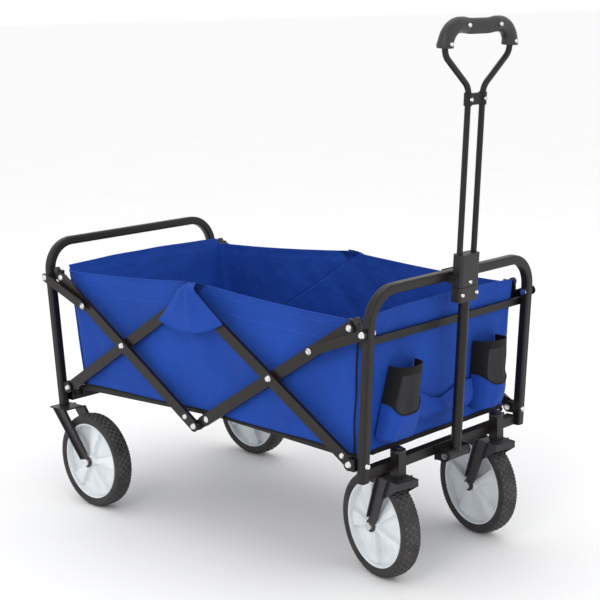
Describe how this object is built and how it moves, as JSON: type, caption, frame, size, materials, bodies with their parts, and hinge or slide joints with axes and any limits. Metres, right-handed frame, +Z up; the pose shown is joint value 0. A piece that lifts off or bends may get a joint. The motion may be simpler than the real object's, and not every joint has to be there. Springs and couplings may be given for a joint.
{
  "type": "folding utility wagon",
  "caption": "Folding utility wagon: leaning end frames joined by scissor bars, fabric bag with cup pockets, spoked wheels, swivel front casters and a telescoping pull handle.",
  "frame": {"origin": "on the floor, midway across the width and midway along the overall length from the rear rail to the front of the grip", "axes": "+X forward to the pull handle, +Y to the left side, +Z up"},
  "size_m": [0.9886, 0.5276, 1.0061],
  "materials": {
    "frame": "satin powder coat",
    "bar": "satin powder coat",
    "bracket": "satin",
    "zinc": "bright zinc",
    "black_plastic": "fine moulded grain",
    "grip": "fine moulded grain",
    "wheel": "smooth moulded",
    "tyre": "moulded rubber",
    "blue_fabric": "woven polyester",
    "mesh": "open mesh with elastic hem",
    "board": "fabric-covered board"
  },
  "bodies": {
    "rear_frame": {"rear_frame_tube": "frame", "rear_lower_crossbar": "frame", "rear_middle_crossbar": "bracket", "rear_pivot_brackets": "bracket", "rear_frame_bolts": "zinc", "rear_forks": "frame", "rear_axles": "zinc", "rear_bag_panel": "blue_fabric", "left_bag_panel": "blue_fabric", "right_bag_panel": "blue_fabric", "joint_flaps": "blue_fabric"},
    "rear_lower_bars": {"rear_lower_bars": "bar", "rear_cross_bolts": "zinc"},
    "rear_upper_bars": {"rear_upper_bars": "bar", "rear_corner_clips": "black_plastic", "rear_bar_bolts": "zinc"},
    "front_lower_bars": {"front_lower_bars": "bar", "front_cross_bolts": "zinc"},
    "front_upper_bars": {"front_upper_bars": "bar", "front_corner_clips": "black_plastic", "bottom_knuckles": "black_plastic", "front_bar_bolts": "zinc"},
    "front_frame": {"front_frame_tube": "frame", "front_lower_crossbar": "frame", "front_middle_crossbar": "bracket", "front_pivot_brackets": "bracket", "front_frame_bolts": "zinc", "caster_housings": "frame", "caster_caps": "black_plastic", "handle_clevis": "bracket", "rail_clip": "black_plastic", "front_bag_panel": "blue_fabric", "left_cup_pocket": "mesh", "right_cup_pocket": "mesh"},
    "rear_links": {"rear_links": "bar"},
    "front_links": {"front_links": "bar"},
    "rear_floor": {"rear_floor_rods": "bracket", "rear_floor_board": "board"},
    "front_floor": {"front_floor_rods": "bracket", "front_floor_board": "board"},
    "left_caster": {"left_caster_fork": "frame", "left_caster_axle": "zinc"},
    "right_caster": {"right_caster_fork": "frame", "right_caster_axle": "zinc"},
    "rear_left_wheel": {"rear_left_wheel": "wheel", "rear_left_tyre": "tyre"},
    "rear_right_wheel": {"rear_right_wheel": "wheel", "rear_right_tyre": "tyre"},
    "front_left_wheel": {"front_left_wheel": "wheel", "front_left_tyre": "tyre"},
    "front_right_wheel": {"front_right_wheel": "wheel", "front_right_tyre": "tyre"},
    "handle_lower": {"handle_lower_tube": "frame", "handle_guide_block": "black_plastic", "handle_guide_screw": "zinc"},
    "handle_upper": {"handle_rods": "frame", "handle_slider_block": "black_plastic", "handle_rod_clamp": "bracket", "handle_grip": "grip", "handle_screws": "zinc"}
  },
  "joints": [
    {"name": "fold", "type": "hinge", "parent": "rear_frame", "child": "rear_lower_bars", "pos_m": [-0.4395, 0, 0.244], "axis": [0, -1, 0], "range_deg": [0, 50], "deforming": ["left_bag_panel", "right_bag_panel", "joint_flaps"]},
    {"name": "rear_cross", "type": "hinge", "parent": "rear_lower_bars", "child": "rear_upper_bars", "pos_m": [-0.24211, 0, 0.36591], "axis": [0, 1, 0], "range_deg": [0, 100]},
    {"name": "top_joint", "type": "hinge", "parent": "rear_lower_bars", "child": "front_lower_bars", "pos_m": [-0.03111, 0, 0.49623], "axis": [0, 1, 0], "range_deg": [0, 100]},
    {"name": "front_cross", "type": "hinge", "parent": "front_lower_bars", "child": "front_upper_bars", "pos_m": [0.17989, 0, 0.36591], "axis": [0, -1, 0], "range_deg": [0, 100]},
    {"name": "front_low", "type": "hinge", "parent": "front_lower_bars", "child": "front_frame", "pos_m": [0.37728, 0, 0.244], "axis": [0, -1, 0], "range_deg": [0, 50]},
    {"name": "rear_link", "type": "hinge", "parent": "rear_frame", "child": "rear_links", "pos_m": [-0.48014, 0, 0.482], "axis": [0, -1, 0], "range_deg": [0, 87]},
    {"name": "front_link", "type": "hinge", "parent": "front_frame", "child": "front_links", "pos_m": [0.41792, 0, 0.482], "axis": [0, 1, 0], "range_deg": [0, 87]},
    {"name": "rear_floor_hinge", "type": "hinge", "parent": "rear_frame", "child": "rear_floor", "pos_m": [-0.4371, 0, 0.244], "axis": [0, -1, 0], "range_deg": [0, 88]},
    {"name": "front_floor_hinge", "type": "hinge", "parent": "front_frame", "child": "front_floor", "pos_m": [0.37488, 0, 0.244], "axis": [0, 1, 0], "range_deg": [0, 88]},
    {"name": "left_swivel", "type": "hinge", "parent": "front_frame", "child": "left_caster", "pos_m": [0.40878, 0.147, 0.2], "axis": [0, 0, 1], "continuous": true},
    {"name": "right_swivel", "type": "hinge", "parent": "front_frame", "child": "right_caster", "pos_m": [0.40878, -0.147, 0.2], "axis": [0, 0, 1], "continuous": true},
    {"name": "rear_left_spin", "type": "hinge", "parent": "rear_frame", "child": "rear_left_wheel", "pos_m": [-0.35561, 0.234, 0.1], "axis": [0, 1, 0], "continuous": true},
    {"name": "rear_right_spin", "type": "hinge", "parent": "rear_frame", "child": "rear_right_wheel", "pos_m": [-0.35561, -0.234, 0.1], "axis": [0, 1, 0], "continuous": true},
    {"name": "front_left_spin", "type": "hinge", "parent": "left_caster", "child": "front_left_wheel", "pos_m": [0.35519, 0.15937, 0.1], "axis": [0.225, 0.9744, 0], "continuous": true},
    {"name": "front_right_spin", "type": "hinge", "parent": "right_caster", "child": "front_right_wheel", "pos_m": [0.35519, -0.13463, 0.1], "axis": [0.225, 0.9744, 0], "continuous": true},
    {"name": "handle_swing", "type": "hinge", "parent": "front_frame", "child": "handle_lower", "pos_m": [0.42389, 0, 0.216], "axis": [0, 1, 0], "range_deg": [0, 98]},
    {"name": "handle_telescope", "type": "slide", "parent": "handle_lower", "child": "handle_upper", "axis": [0.0698, 0, 0.9976], "range_m": [-0.255, 0]}
  ],
  "couplings": [
    {"joint": "rear_cross", "follows": "fold", "ratio": 2},
    {"joint": "top_joint", "follows": "fold", "ratio": 2},
    {"joint": "front_cross", "follows": "fold", "ratio": 2},
    {"joint": "front_low", "follows": "fold", "ratio": 1},
    {"joint": "rear_link", "follows": "fold", "ratio": 1.722},
    {"joint": "front_link", "follows": "fold", "ratio": 1.722},
    {"joint": "rear_floor_hinge", "follows": "fold", "ratio": 1.74},
    {"joint": "front_floor_hinge", "follows": "fold", "ratio": 1.74}
  ]
}
